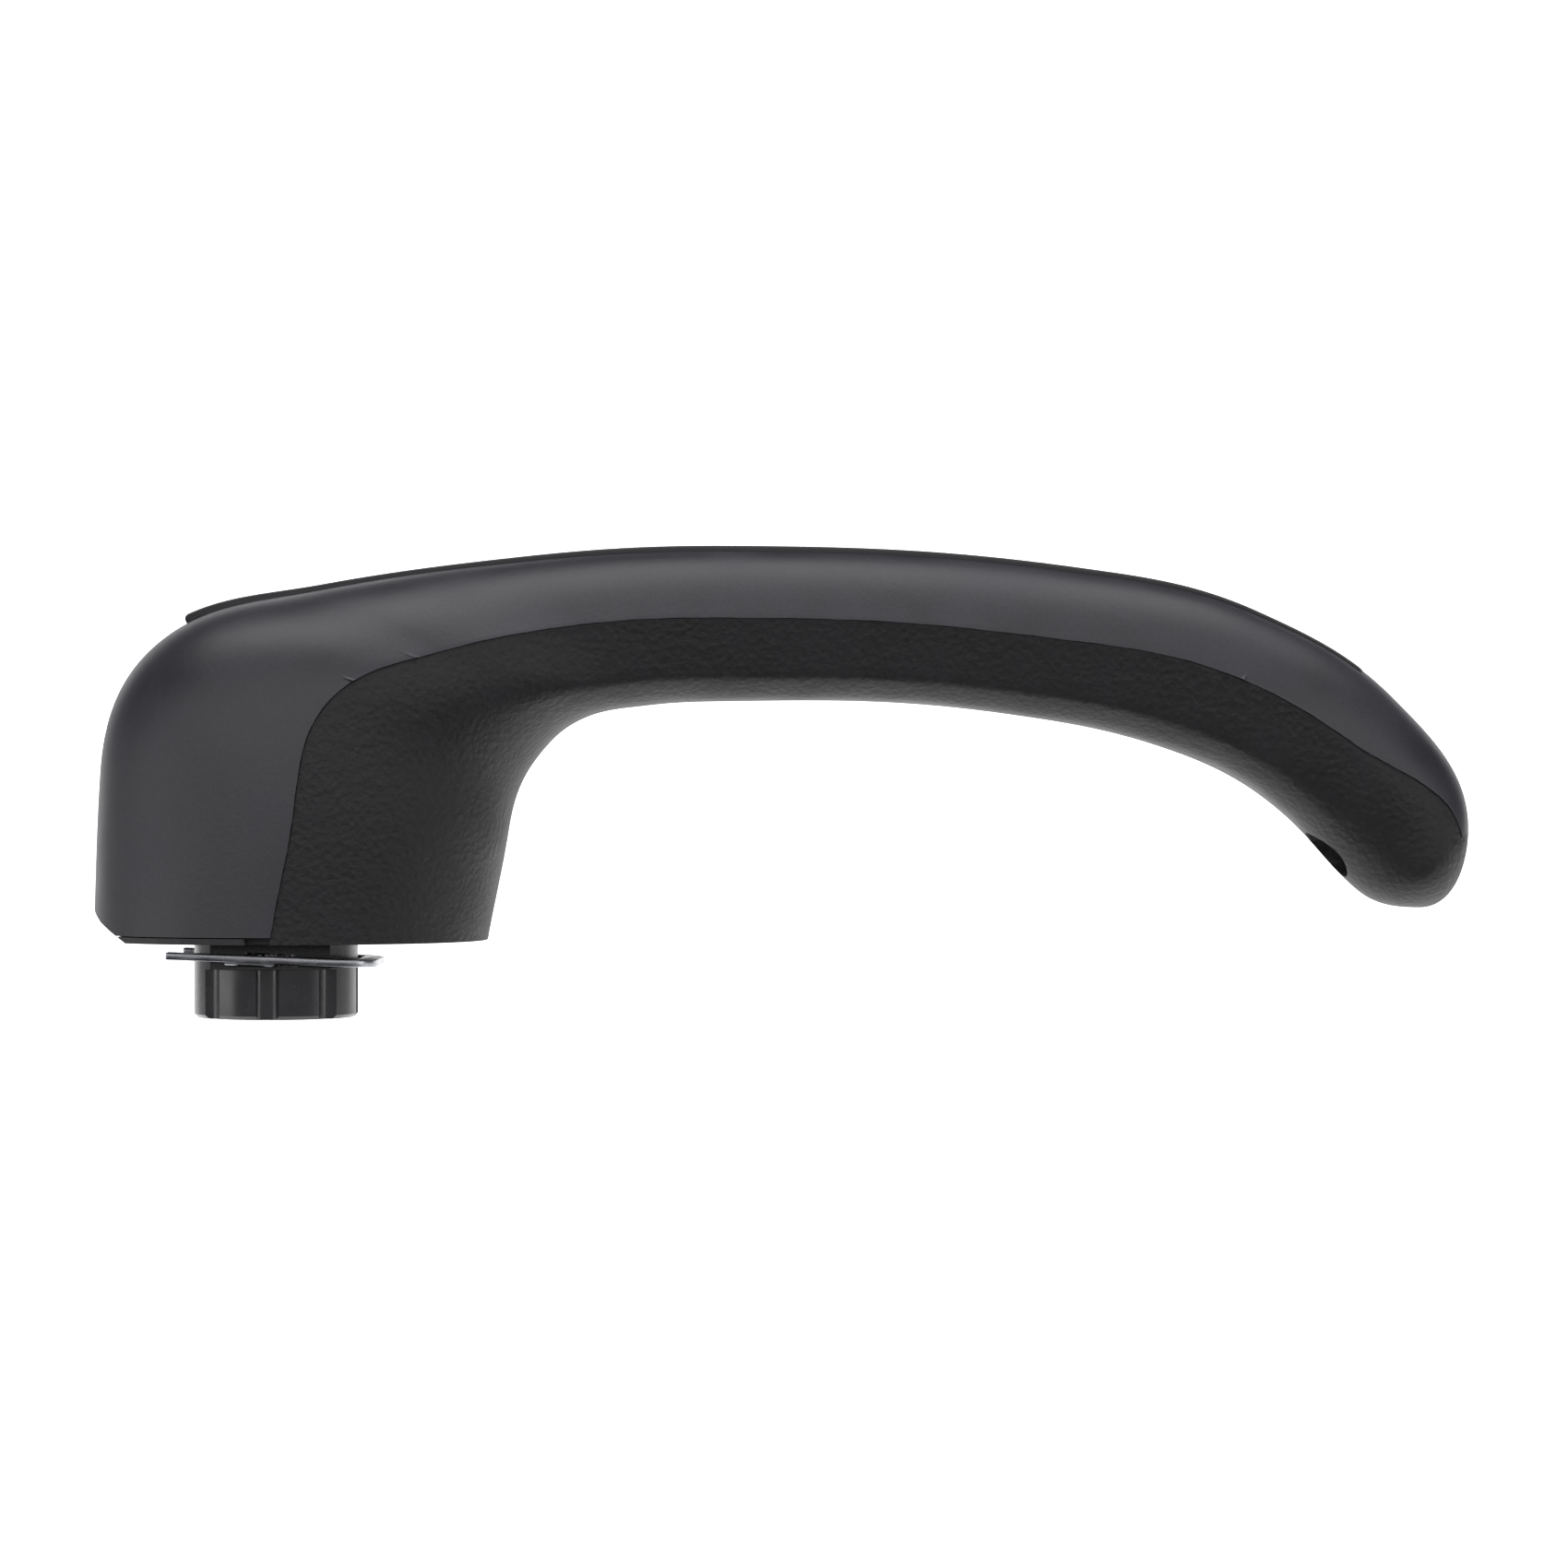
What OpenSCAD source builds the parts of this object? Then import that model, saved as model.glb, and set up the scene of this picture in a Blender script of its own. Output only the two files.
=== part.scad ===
// Lever handle for a vehicle door. Two plastic shells close over a cast arm, and the arm is
// screwed to a spindle socket that a sliding spring clip locks on the door's spindle.
// Origin on the spindle axis at the hub's base plane. +Z up through the hub, +X along the
// grip, Y across it.

/* [View] */
// which node to draw

/* [Lever] */
// spindle axis to the front of the hub
hub_front = 19.7; // [17:0.1:24]
// spindle axis to the back of the hub at its base
hub_back = 23.1; // [20:0.1:28]
// width of the hub across Y
hub_width = 37; // [32:0.5:45]
// spindle axis to the far end of the tip
grip_reach = 130.1; // [105:0.5:160]
// base plane to the top of the arch, without the strip
arch_height = 42.6; // [34:0.1:52]
// depth of the grip from its crown to its underside
grip_depth = 16.25; // [13:0.05:19]
// width of the grip across Y at the middle of the arch
grip_width = 21; // [17:0.5:26]
// height of the tip's lowest point over the base plane
tip_clearance = 3.5; // [2:0.1:6]

/* [Shells] */
// wall of both shells
shell_wall = 2; // [1.6:0.1:2.6]
// play between the two shells at the seam
seam_gap = 0.06; // [0.04:0.01:0.2]
// how far the outer shell stands proud of the inner one at the seam
seam_step = 0.2; // [0:0.05:0.4]
// length of the relief cut under the heel
heel_cut_length = 5; // [3:0.1:7]
// height of the relief cut under the heel
heel_cut_height = 3.7; // [2:0.1:5]
// thickness of the saddle ribs that hold the arm
rib_thickness = 1.6; // [1:0.1:2.4]

/* [Crown strip] */
// how far the strip stands above the crown at its front end
strip_front_rise = 1.05; // [0.6:0.05:1.5]
// how far the strip stands above the crown along the grip
strip_rise = 0.35; // [0.2:0.05:0.6]
// half width of the strip
strip_half = 5; // [3.5:0.1:6]
// radius of the strip's pegs
peg_radius = 1.2; // [0.8:0.1:1.6]
// length of the pegs under the crown
peg_length = 3.2; // [2.5:0.1:3.8]

/* [Spindle socket] */
// outer radius of the socket's boss
boss_radius = 8.9; // [8:0.1:10]
// length of the boss below the base plane
boss_length = 8.4; // [7:0.1:11]
// number of flutes round the boss
flute_count = 8; // [6:2:14]
// depth of each flute
flute_depth = 0.8; // [0.3:0.05:1.2]
// radius that cuts each flute
flute_round = 1.4; // [1:0.1:2.2]
// radius of the plain pilot bore
pilot_radius = 4.6; // [3.8:0.05:5.6]
// depth of the pilot bore above the base plane
pilot_depth = 12; // [8:0.5:14]
// step from the pilot bore out to the crests of the splines
spline_step = 0.4; // [0.2:0.05:0.6]
// height of the splines
spline_height = 0.5; // [0.3:0.05:0.8]
// number of inner splines
spline_count = 18; // [12:1:24]
// wall of the spigot round the pilot bore
spigot_wall = 2.9; // [2:0.1:3.5]
// closed end of the spigot over the pilot bore
spigot_cap = 3; // [2:0.1:4]
// thickness of the socket's flange
flange_thickness = 2.5; // [2:0.1:3.5]

/* [Retaining clip] */
// thickness of the spring steel
clip_thickness = 0.8; // [0.6:0.1:1]
// width of each leg
clip_leg_width = 2.1; // [1.6:0.1:2.6]
// depth of the flats in the boss that the legs run on
seat_depth = 2.8; // [2.3:0.1:3.3]
// length of the legs beyond the boss at their free ends
leg_overhang = 2.15; // [1:0.05:3]
// room between the boss and the inside of the loop
loop_room = 0.4; // [0.3:0.05:1.5]
// room between the noses and the pilot bore's wall line
nose_room = 0.15; // [0.1:0.05:0.3]
// downward slope of the clip towards its loop, in degrees
clip_tilt = 2.3; // [0:0.1:2.5]
// height of the slot that the clip slides in
slot_height = 2.7; // [2.4:0.1:3]
// thickness of the tabs pressed down under the legs
clip_tab = 0.35; // [0.2:0.05:0.4]
// thickness of the collar above the slot
collar_lip = 0.35; // [0.3:0.05:0.6]

/* [Arm and base plate] */
// wall of the arm's hub round its screws
arm_hub_wall = 0.7; // [0.5:0.1:1.2]
// height of the arm's hub above the flange
arm_hub_height = 14; // [11:0.5:16]
// web thickness of the arm
arm_web = 3.4; // [2.5:0.1:5]
// flange width of the arm
arm_flange_width = 9; // [7:0.5:11]
// flange thickness of the arm
arm_flange_thickness = 1.5; // [1.2:0.1:2]
// thickness of the base plate
plate_thickness = 2.45; // [2:0.05:3]
// height of the lip that shows below the outer shell
plate_lip = 0.65; // [0.5:0.05:1]
// open line between the lip and the outer shell
shadow_gap = 0.12; // [0.1:0.01:0.3]

/* [Screws and fits] */
// shank radius of the small screws
small_screw_radius = 1.25; // [1:0.05:1.5]
// head radius of the small screws
small_head_radius = 2.2; // [2:0.1:2.4]
// shank radius of the tip screw
tip_screw_radius = 1.45; // [1.25:0.05:1.8]
// head radius of the tip screw
tip_head_radius = 3; // [2.6:0.1:3.3]
// how far the tip screw stands to one side of the grip's middle
tip_offset = 1.6; // [1:0.1:1.8]
// depth of the round recess under the tip
tip_recess_depth = 3.2; // [2.8:0.1:3.6]
// running play of a shank in its hole
shank_play = 0.25; // [0.1:0.05:0.4]
// play of a thread form in its pilot hole
thread_play = 0.05; // [0.03:0.01:0.1]
// locating play between parts that sit in one another
locating_play = 0.05; // [0.03:0.01:0.1]
// open play between parts that pass one another
passing_play = 0.25; // [0.15:0.05:0.4]
// play between the saddles and the arm
saddle_play = 0.15; // [0.1:0.01:0.25]

/* [Hidden] */
$fn = 64;
tiny = 0.01;
grip_length = grip_reach - hub_back;
underside = arch_height - grip_depth;
handle_share = 0.37;

// a place along the grip, as a share of its length behind the hub
function along(share) = hub_back + share * grip_length;

// crown line and underside line, each as x, z and heading in degrees
crown_line = [
    [-hub_front, 0, 88],
    [-hub_front + 0.7, 0.423 * arch_height, 86],
    [-0.635 * hub_front, 0.758 * arch_height, 40],
    [0.216 * hub_back, 0.894 * arch_height, 11],
    [along(0.036), 0.9705 * arch_height, 6.5],
    [along(0.252), arch_height, -0.3],
    [along(0.588), 0.95 * arch_height, -7.6],
    [along(0.784), 0.837 * arch_height, -24],
    [along(0.922), 0.622 * arch_height, -45],
    [grip_reach, 0.282 * arch_height, -91],
    [along(0.952), tip_clearance, -180]];
under_line = [
    [hub_back, 0, 80],
    [along(0.0215), 0.456 * underside, 81],
    [along(0.0514), 0.76 * underside, 52],
    [along(0.0925), 0.909 * underside, 27],
    [along(0.162), 0.973 * underside, 7],
    [along(0.27), 0.992 * underside, 1],
    [along(0.532), 0.938 * underside, -8],
    [along(0.697), 0.791 * underside, -19],
    [along(0.817), 0.513 * underside, -42],
    [along(0.889), 0.205 * underside, -40],
    [along(0.952), tip_clearance, 0]];

// half widths down the body, the tip's last one closed by the cosine in half_width
tip_half = 0.4 * grip_width;
half_widths = [hub_width / 2, 0.49 * hub_width, 0.455 * hub_width,
    0.6 * grip_width + 0.05 * hub_width, 0.56 * grip_width, 0.505 * grip_width,
    0.495 * grip_width, 0.485 * grip_width, 0.455 * grip_width, tip_half, tip_half];
// where the seam crosses each section, as a share from the crown
seam_shares = [0.49, 0.516, 0.495, 0.498, 0.47, 0.475, 0.49, 0.455, 0.42, 0.12, 0.1];
// where each section is widest
widest_shares = [0.49, 0.516, 0.495, 0.498, 0.47, 0.475, 0.49, 0.46, 0.45, 0.45, 0.5];
// squareness of the crown and of the underside, and the draft of the upper side
crown_powers = [2.2, 2.3, 3, 3.4, 3.8, 4, 4, 3.8, 3, 2.4, 2.2];
under_powers = [2.2, 2.2, 2.3, 3.4, 6, 8, 8, 7, 4, 2.2, 2.2];
drafts = [0, 0, 0.04, 0.16, 0.26, 0.3, 0.3, 0.28, 0.16, 0.04, 0];
// draft of the lower side, and how far a facet takes its lower corners off
under_drafts = [0.02, 0.03, 0.06, 0.1, 0.12, 0.12, 0.12, 0.12, 0.1, 0.06, 0.06];
facets = [0, 0, 0, 0.1, 0.2, 0.22, 0.22, 0.2, 0.12, 0, 0];
facet_start = 0.72;

// steps between one row and the next
row_steps = [4, 5, 5, 4, 4, 6, 5, 4, 6, 7];
rows = len(row_steps);
tip_row = rows - 1;
cavity_end = tip_row - 0.5;
side_steps = 10;
past_tip_row = tip_row + 0.004;
stations = [for (row = [0:rows - 1]) for (i = [0:row_steps[row] - 1])
    each row + i / row_steps[row] == tip_row ? [tip_row, past_tip_row] : [row + i / row_steps[row]],
    rows - 0.04];

function heading(degrees) = [cos(degrees), sin(degrees)];
function place_of(knot) = [knot[0], knot[1]];
function row_of(s) = min(floor(s), rows - 1);

// cubic curve between two knots that leaves and arrives on their headings
function line_at(line, s) =
    let (row = row_of(s), t = s - row, a = place_of(line[row]), d = place_of(line[row + 1]))
    let (pull = handle_share * norm(d - a))
    let (b = a + pull * heading(line[row][2]), c = d - pull * heading(line[row + 1][2]))
    pow(1 - t, 3) * a + 3 * pow(1 - t, 2) * t * b + 3 * (1 - t) * t * t * c + pow(t, 3) * d;

// smooth value between two rows of a list
function value_at(list, s) =
    let (row = row_of(s), t = s - row, a = list[row], b = list[row + 1])
    let (before = row > 0 ? (b - list[row - 1]) / 2 : b - a)
    let (after = row < rows - 1 ? (list[row + 2] - a) / 2 : b - a)
    a * (2 * pow(t, 3) - 3 * t * t + 1) + before * (pow(t, 3) - 2 * t * t + t)
    + b * (3 * t * t - 2 * pow(t, 3)) + after * (pow(t, 3) - t * t);

function half_width(s) =
    s > tip_row ? tip_half * cos(90 * (s - tip_row)) : value_at(half_widths, s);

// share that the facet takes off the half width
function facet_cut(s, down) =
    let (u = max(down - facet_start, 0) / (1 - facet_start))
    value_at(facets, s) * u * u / (u + 0.12);

// half width of a section at a share of its depth, as a share of its full half width
function bulge(s, share) =
    let (widest = value_at(widest_shares, s))
    let (up = (widest - share) / widest, down = (share - widest) / (1 - widest))
    let (p = value_at(crown_powers, s), q = value_at(under_powers, s))
    share < widest
        ? pow(max(1 - pow(up, p), 0), 1 / p) * (1 - value_at(drafts, s) * up)
        : pow(max(1 - pow(min(down, 1), q), 0), 1 / q)
            * (1 - value_at(under_drafts, s) * down) * (1 - facet_cut(s, min(down, 1)));

function chord(s) = norm(line_at(under_line, s) - line_at(crown_line, s));
function chord_heading(s) = (line_at(under_line, s) - line_at(crown_line, s)) / chord(s);
function seam_depth(s) = value_at(seam_shares, s) * chord(s);

// a point of the body at a depth from the crown, on side -1 or 1, on a skin set in by inset
function skin_half(s, depth, inset) =
    (half_width(s) - inset) * bulge(s, (depth - inset) / (chord(s) - 2 * inset));
function body_point(s, depth, y) =
    let (p = line_at(crown_line, s) + depth * chord_heading(s))
    [p[0], y, p[1]];
function skin_point(s, depth, inset, side) = body_point(s, depth, side * skin_half(s, depth, inset));

// depths sampled from the crown to the seam, and from the seam to the underside
function upper_depth(from, to, i) = from + (to - from) * (1 - cos(90 * i / side_steps));
function lower_depth(from, to, i) = from + (to - from) * sin(90 * i / side_steps);
side_range = [-side_steps:side_steps];

function outer_ring(s) =
    let (seam = seam_depth(s) - seam_gap / 2, hollow = seam > shell_wall + least_hollow)
    let (rim = skin_half(s, seam, 0))
    concat(
        [for (i = side_range) skin_point(s, upper_depth(0, seam, abs(i)), 0, -sign(i))],
        [for (i = side_range) hollow
            ? skin_point(s, upper_depth(shell_wall, seam, abs(i)), shell_wall, sign(i))
            : body_point(s, seam, rim_share * rim * i / side_steps)]);

// the inner shell's skin, set back from the outer one by the step at the seam
function lower_point(s, depth, side) =
    body_point(s, depth, side * (half_width(s) - seam_step) * bulge(s, depth / chord(s)));

function inner_ring(s) =
    let (seam = seam_depth(s) + seam_gap / 2, end = chord(s))
    let (rim = (half_width(s) - seam_step) * bulge(s, seam / end))
    concat(
        [for (i = side_range)
            lower_point(s, lower_depth(seam, end, side_steps - abs(i)), sign(i))],
        [for (i = side_range)
            s <= cavity_end
                ? skin_point(s, lower_depth(seam, end - shell_wall, side_steps - abs(i)),
                    shell_wall, -sign(i))
                : s <= tip_row
                ? body_point(s, seam, -rim_share * rim * i / side_steps)
                : lower_point(s, upper_depth(0, 0.8 * seam, abs(i)), -sign(i))]);

// a body swept through closed rings, each of two arcs that run there and back
module loft(rings) {
    n = len(rings[0]);
    last = len(rings) - 1;
    points = [for (ring = rings) for (p = ring) p];
    walls = [for (k = [0:last - 1]) for (j = [0:n - 1])
        let (a = k * n + j, b = k * n + (j + 1) % n)
        each [[a, b + n, b], [a, a + n, b + n]]];
    ends = [for (k = [0, last]) for (j = [0:n / 2 - 2])
        let (a = k * n + j, b = k * n + n - 1 - j)
        let (pair = j < n / 4 - 1 ? [[a, b, a + 1], [a + 1, b, b - 1]]
            : [[a, b, b - 1], [a, b - 1, a + 1]])
        each k == 0 ? [for (face = pair) [face[0], face[2], face[1]]] : pair];
    polyhedron(points, concat(walls, ends), convexity = 8);
}

// places its children at a point of the XZ plane, with their +Z along a heading
module aim(place, toward) {
    multmatrix([
        [toward[1], 0, toward[0], place[0]],
        [0, 1, 0, 0],
        [-toward[0], 0, toward[1], place[1]],
        [0, 0, 0, 1]])
    children();
}

// places its children on the tip screw's axis
module at_tip(depth = 0) {
    aim(tip_mouth, tip_heading)
    translate([0, -tip_offset, depth])
    children();
}

// a flat plate across the body at a station, drawn in depth and Y
module plate_across(s, thickness) {
    place = line_at(crown_line, s);
    h = chord_heading(s);
    multmatrix([
        [h[0], 0, -h[1], place[0]],
        [0, 1, 0, 0],
        [h[1], 0, h[0], place[1]],
        [0, 0, 0, 1]])
    linear_extrude(thickness, center = true)
    children();
}

// radii that the socket, the arm and the clip share
spline_crest_radius = pilot_radius + spline_step;
spline_root_radius = spline_crest_radius + spline_height;
spigot_radius = pilot_radius + spigot_wall;
socket_screw_circle = boss_radius + small_head_radius + 0.3;
flange_radius = socket_screw_circle + small_head_radius + 0.4;
arm_hub_radius = socket_screw_circle + small_screw_radius + thread_play + arm_hub_wall;
leg_seat = boss_radius - seat_depth;
nose_reach = pilot_radius + nose_room;

// heights that the hub's inner parts share
plate_top = plate_thickness;
plate_gap = 0.4;
flange_base = plate_top + plate_gap;
flange_top = flange_base + flange_thickness;
spigot_length = pilot_depth + spigot_cap - flange_top;
arm_hub_top = flange_top + arm_hub_height;
slot_top = -collar_lip;
slot_base = slot_top - slot_height;

// the plate's lip: how far it is set in from the skin, and how far it stops short of the seam
lip_inset = 0.06;
lip_end = 1.5;

// the four screws of the base plate, two in each shell
base_screw_places = [
    for (side = [-1, 1]) [-0.585 * hub_front, side * 0.238 * hub_width],
    for (side = [-1, 1]) [0.645 * hub_back, side * 0.211 * hub_width]];
front_places = [base_screw_places[0], base_screw_places[1]];
back_places = [base_screw_places[2], base_screw_places[3]];
screw_boss_wall = 1.55;
screw_boss_radius = small_screw_radius + screw_boss_wall;
screw_boss_top = 15;
screw_web = 1.6;
web_step = 0.3;
blind_end = 1.5;
base_screw_length = 12;
socket_screw_grip = 7.5;
screw_sink = 0.1;
socket_screw_angles = [60, 180, 300];
countersink = 1.4;

// the tip screw's axis, from the underside towards the crown
tip_station = tip_row - 0.48;
tip_mouth = line_at(under_line, tip_station);
tip_run = line_at(under_line, tip_station + 0.02) - line_at(under_line, tip_station - 0.02);
tip_heading = [-tip_run[1], tip_run[0]] / norm(tip_run);
tip_recess_radius = tip_head_radius + passing_play;
tip_cup_floor = 1.6;
tip_rim = 2.2;
tip_blind_end = 1.2;
tip_head_height = 1.8;
tip_eye_base = tip_recess_depth + tip_cup_floor + passing_play;
tip_eye_thickness = 2;
tip_tongue = 9;
tip_boss_base = tip_eye_base + tip_eye_thickness + passing_play;
tip_boss_end = chord(tip_station) - 0.4 * shell_wall;
tip_boss_radius = tip_screw_radius + 1.5;
tip_cup_radius = tip_recess_radius + 1.35;

// the arm's upper and lower edges, as shares of the section's depth
arm_upper = 0.26;
arm_lower = 0.74;
arm_stations = [for (s = [1:0.25:8]) s];
saddle_stations = [4.5, 5.5, 6.5, 7.5];
peg_stations = [3.4, 5, 7];

// chamfer that eases a turned edge
edge_ease = 0.4;

// shell walls: least depth that is hollow, share of the rim that a solid end fills, and how
// far the ribs reach into a wall
least_hollow = 0.4;
rim_share = 0.9;
rib_root = 0.3;

function crown_normal(s) =
    let (run = line_at(crown_line, s + 0.02) - line_at(crown_line, s - 0.02))
    [run[1], -run[0]] / norm(run);

module under_heel() {
    rotate([90, 0, 0])
    linear_extrude(2 * hub_width, center = true)
    polygon([[-2 * hub_front, -1], [-2 * hub_front, heel_cut_height + hub_front],
        [-hub_front, heel_cut_height],
        [-hub_front + 0.35 * heel_cut_length, 0.56 * heel_cut_height],
        [-hub_front + heel_cut_length, 0], [-hub_front + heel_cut_length, -1]]);
}

// outline of the hub at its base, set in from the skin
module base_outline(inset) {
    depth = chord(0);
    upper = [for (i = side_range)
        let (d = upper_depth(inset, seam_depth(0), abs(i)))
        [d - hub_front, sign(i) * skin_half(0, d, inset)]];
    lower = [for (i = side_range)
        let (d = lower_depth(seam_depth(0), depth - inset, side_steps - abs(i)))
        [d - hub_front, -sign(i) * skin_half(0, d, inset)]];
    polygon(concat(upper, [for (i = [1:len(lower) - 2]) lower[i]]));
}

module screw(radius, head_radius, head_height, length) {
    difference() {
        union() {
            cylinder(h = head_height, r1 = head_radius, r2 = 0.8 * head_radius);
            cylinder(h = length - radius, r = radius);
            translate([0, 0, length - radius])
            cylinder(h = radius, r1 = radius, r2 = 0.3 * radius);
        }
        for (turn = [0, 90])
        rotate(turn)
        cube([1.1 * head_radius, 0.22 * head_radius, 1.1 * head_height], center = true);
    }
}

// a boss for a base screw, with a web that runs out into the wall of its shell
module screw_boss(p) {
    middle = seam_depth(0) - hub_front;
    reach = norm([p[0] - middle, p[1]]);
    translate([p[0], p[1], plate_top + 0.1]) {
        cylinder(h = screw_boss_top - plate_top, r = screw_boss_radius);
        rotate(atan2(p[1], p[0] - middle))
        translate([0, -screw_web / 2, web_step])
        cube([skin_reach(p) - reach - 0.5 * shell_wall, screw_web,
            screw_boss_top - plate_top - 2 * web_step]);
    }
}

// distance from the seam line to the hub's skin at its base, through a place
function skin_reach(p) =
    let (middle = seam_depth(0) - hub_front, run = [p[0] - middle, p[1]] / norm([p[0] - middle, p[1]]))
    let (length = p[0] < 0 ? seam_depth(0) : chord(0) - seam_depth(0))
    let (power = p[0] < 0 ? crown_powers[0] : under_powers[0])
    pow(pow(abs(run[0]) / length, power) + pow(abs(run[1]) / half_width(0), power), -1 / power);

module outer_shell() {
    color("#4a4a4d")
    difference() {
        union() {
            loft([for (s = stations) if (s <= tip_row) outer_ring(s)]);
            for (p = front_places)
            screw_boss(p);
            for (s = saddle_stations)
            plate_across(s, rib_thickness)
            upper_saddle(s);
            at_tip(tip_boss_base)
            cylinder(h = tip_boss_end - tip_boss_base, r = tip_boss_radius);
        }
        translate([0, 0, -hub_width + plate_lip + shadow_gap])
        cube(2 * hub_width, center = true);
        under_heel();
        for (p = front_places)
        translate([p[0], p[1], 0])
        cylinder(h = screw_boss_top - blind_end, r = small_screw_radius + thread_play);
        for (s = peg_stations)
        aim(line_at(crown_line, s), crown_normal(s))
        translate([0, 0, -2])
        cylinder(h = 2 * shell_wall + 2, r = peg_radius + locating_play);
        at_tip()
        cylinder(h = tip_boss_end - tip_blind_end, r = tip_screw_radius + thread_play);
    }
}

// rib profiles that reach from a shell's wall to the arm
module upper_saddle(s) {
    from = shell_wall - rib_root;
    to = arm_upper * chord(s) - saddle_play;
    depths = [for (i = [0:4]) from + 0.1 + (to - from - 0.1) * i / 4];
    polygon([
        for (i = [0:4]) [depths[i], skin_half(s, depths[i], from)],
        for (i = [4:-1:0]) [depths[i], -skin_half(s, depths[i], from)]]);
}

module lower_saddle(s) {
    from = arm_lower * chord(s) + saddle_play;
    inset = shell_wall - rib_root;
    to = chord(s) - inset;
    depths = [for (i = [0:4]) from + (to - from - 0.1) * i / 4];
    polygon([
        for (i = [0:4]) [depths[i], skin_half(s, depths[i], inset)],
        for (i = [4:-1:0]) [depths[i], -skin_half(s, depths[i], inset)]]);
}

module inner_shell() {
    color("#2f2f31")
    difference() {
        union() {
            difference() {
                loft([for (s = stations) inner_ring(s)]);
                at_tip(tip_recess_depth + tip_cup_floor)
                cylinder(h = tip_boss_end - tip_recess_depth - tip_cup_floor, r = tip_cup_radius + 0.1);
            }
            at_tip(tip_rim)
            cylinder(h = tip_recess_depth + tip_cup_floor - tip_rim, r = tip_cup_radius);
            for (p = back_places)
            screw_boss(p);
            for (s = saddle_stations)
            plate_across(s, rib_thickness)
            lower_saddle(s);
        }
        for (p = back_places)
        translate([p[0], p[1], 0])
        cylinder(h = screw_boss_top - blind_end, r = small_screw_radius + thread_play);
        at_tip(-1) {
            cylinder(h = tip_recess_depth + 1, r = tip_recess_radius);
            cylinder(h = tip_eye_base + 2, r = tip_screw_radius + shank_play);
        }
    }
}

// depth at which the crown has fallen far enough to be a given half width wide
function depth_for(s, y, low, high, tries) =
    let (middle = (low + high) / 2)
    tries == 0 ? middle
        : skin_half(s, middle, 0) < y ? depth_for(s, y, middle, high, tries - 1)
        : depth_for(s, y, low, middle, tries - 1);

strip_start = 2.2;
strip_end = 7.75;
strip_bed = 0.06;
peg_sink = 0.15;
strip_steps = 3;
// rows where the tail starts to thin, how far it thins, the top's share of the width, and
// how far its edges drop below the middle
strip_fade_row = 6;
strip_fade = 0.7;
strip_top_share = 0.94;
strip_edge_drop = 0.3;
function rise_at(s) =
    (strip_rise + (strip_front_rise - strip_rise) * exp(strip_start - s))
    * (s < strip_fade_row ? 1 : 1 - strip_fade * (s - strip_fade_row) / (strip_end - strip_fade_row));
function strip_point(s, y, lift) =
    let (depth = y == 0 ? 0 : depth_for(s, abs(y), 0, seam_depth(s), 16))
    let (p = body_point(s, depth, y), n = crown_normal(s))
    [p[0] - lift * n[0], y, p[2] - lift * n[1]];
function strip_ring(s) = concat(
    [for (i = [strip_steps:-1:-strip_steps])
        let (part = i / strip_steps, y = strip_top_share * strip_half * part)
        strip_point(s, y, rise_at(s) * (1 - strip_edge_drop * pow(abs(part), 3)) + strip_bed)],
    [for (i = [-strip_steps:strip_steps])
        strip_point(s, strip_half * i / strip_steps, strip_bed)]);

module crown_strip() {
    color("#1c1c1e")
    union() {
        loft([for (s = stations) if (s >= strip_start && s <= strip_end) strip_ring(s)]);
        for (s = peg_stations)
        aim(line_at(crown_line, s), crown_normal(s))
        translate([0, 0, -peg_sink])
        cylinder(h = peg_length + peg_sink, r = peg_radius);
    }
}

module arm_edge(from, to, from_offset, to_offset, width) {
    rotate([90, 0, 0])
    linear_extrude(width, center = true)
    polygon([
        for (s = arm_stations) arm_point(s, from, from_offset),
        for (i = [len(arm_stations) - 1:-1:0]) arm_point(arm_stations[i], to, to_offset)]);
}
function arm_point(s, share, offset) =
    line_at(crown_line, s) + (share * chord(s) + offset) * chord_heading(s);

module core_arm() {
    color("#8d9094")
    difference() {
        union() {
            arm_edge(arm_upper, arm_lower, 0, 0, arm_web);
            arm_edge(arm_upper, arm_upper, 0, arm_flange_thickness, arm_flange_width);
            arm_edge(arm_lower, arm_lower, -arm_flange_thickness, 0, arm_flange_width);
            intersection() {
                union() {
                    translate([0, 0, flange_top])
                    cylinder(h = arm_hub_height - 1, r = arm_hub_radius);
                    translate([0, 0, arm_hub_top - 1])
                    cylinder(h = 1, r1 = arm_hub_radius, r2 = arm_hub_radius - 1);
                }
                translate([0, 0, flange_top - 1])
                linear_extrude(arm_hub_height + 2)
                hub_room();
            }
            at_tip(tip_eye_base) {
                cylinder(h = tip_eye_thickness, r = tip_boss_radius + 1);
                translate([-tip_tongue, -tip_boss_radius, 0])
                cube([tip_tongue, 2 * tip_boss_radius, tip_eye_thickness]);
            }
        }
        translate([0, 0, flange_top - 1])
        cylinder(h = spigot_length + 1.3, r = spigot_radius + locating_play);
        for (turn = socket_screw_angles)
        rotate(turn)
        translate([socket_screw_circle, 0, flange_top - 1])
        cylinder(h = socket_screw_grip + 2, r = small_screw_radius + thread_play);
        at_tip(tip_eye_base - 1)
        cylinder(h = tip_eye_thickness + 2, r = tip_screw_radius + shank_play);
    }
}

// inside of the hub, less the shells' screw bosses
module hub_room() {
    difference() {
        base_outline(shell_wall + 1);
        for (p = base_screw_places)
        translate(p)
        circle(screw_boss_radius + passing_play);
    }
}

module spline_bore() {
    circle(spline_crest_radius);
    for (i = [0:spline_count - 1])
    rotate(360 * i / spline_count)
    translate([spline_crest_radius, 0])
    circle(spline_root_radius - spline_crest_radius, $fn = 24);
}

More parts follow.
